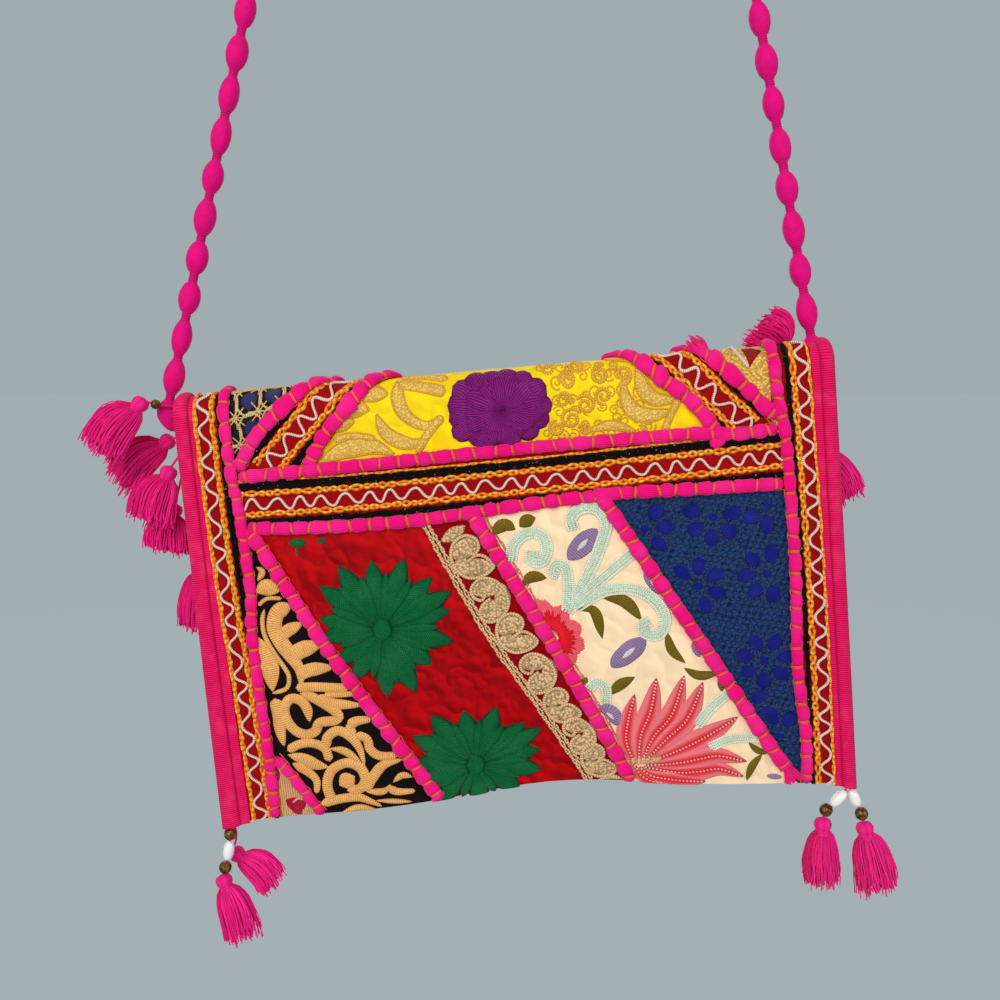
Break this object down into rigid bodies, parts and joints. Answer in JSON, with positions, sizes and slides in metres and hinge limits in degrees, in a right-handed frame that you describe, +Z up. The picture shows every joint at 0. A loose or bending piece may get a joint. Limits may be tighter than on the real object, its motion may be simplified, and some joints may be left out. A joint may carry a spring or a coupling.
{
  "type": "clutch bag",
  "caption": "Fold-over patchwork clutch bag with a pocket, couched yarn seams, bound edges, tassels and a long strap of cloth-covered beads, hanging from a peg.",
  "frame": {"origin": "underside of the strap at its highest point, where it lies on the peg it hangs on", "axes": "+Z up against gravity, the flap's front faces -Y, +X to the right of someone facing the front"},
  "size_m": [0.3458, 0.0464, 0.8234],
  "materials": {
    "back_cloth": "matte",
    "tape": "matte",
    "yarn": "matte",
    "bead_cloth": "matte",
    "trim": "matte",
    "net": "matte",
    "yellow_silk": "satin",
    "gold_zari": "matte",
    "scroll_velvet": "matte",
    "corner_silk": "satin",
    "red_silk": "satin",
    "paisley_zari": "matte",
    "cream_silk": "satin",
    "blue_brocade": "matte",
    "brass": "aged",
    "white_bead": "gloss"
  },
  "bodies": {
    "root": {"pouch": "back_cloth", "flap": "back_cloth", "flap_binding_left": "tape", "flap_binding_right": "tape", "pouch_binding_left": "tape", "pouch_binding_right": "tape", "patch_net": "net", "trim_top_left": "trim", "patch_yellow": "yellow_silk", "trim_top_right": "trim", "patch_gold": "gold_zari", "trim_band": "trim", "patch_scroll": "scroll_velvet", "patch_corner": "corner_silk", "patch_red": "red_silk", "trim_paisley": "paisley_zari", "patch_cream": "cream_silk", "patch_blue": "blue_brocade", "trim_left": "trim", "trim_right": "trim", "cord_left": "yarn", "cord_right": "yarn", "cord_upper": "yarn", "cord_lower": "yarn", "cord_top_1": "yarn", "cord_top_2": "yarn", "cord_top_3": "yarn", "cord_top_4": "yarn", "cord_scroll": "yarn", "cord_paisley": "yarn", "cord_cream": "yarn", "cord_corner": "yarn", "tassel_upper_left_1": "yarn", "tassel_upper_left_2": "yarn", "tassel_upper_left_3": "yarn", "tassel_upper_left_4": "yarn", "tassel_upper_left_5": "yarn", "tassel_upper_right_1": "yarn", "tassel_upper_right_2": "yarn", "tassel_upper_right_3": "yarn", "tassel_lower_left_1": "yarn", "tassel_lower_left_2": "yarn", "tassel_lower_right_1": "yarn", "tassel_lower_right_2": "yarn", "bead_brass_1": "brass", "bead_brass_2": "brass", "bead_brass_3": "brass", "bead_brass_4": "brass", "bead_brass_5": "brass", "bead_white_1": "white_bead", "bead_white_2": "white_bead", "bead_white_3": "white_bead", "strap": "bead_cloth"}
  },
  "joints": []
}
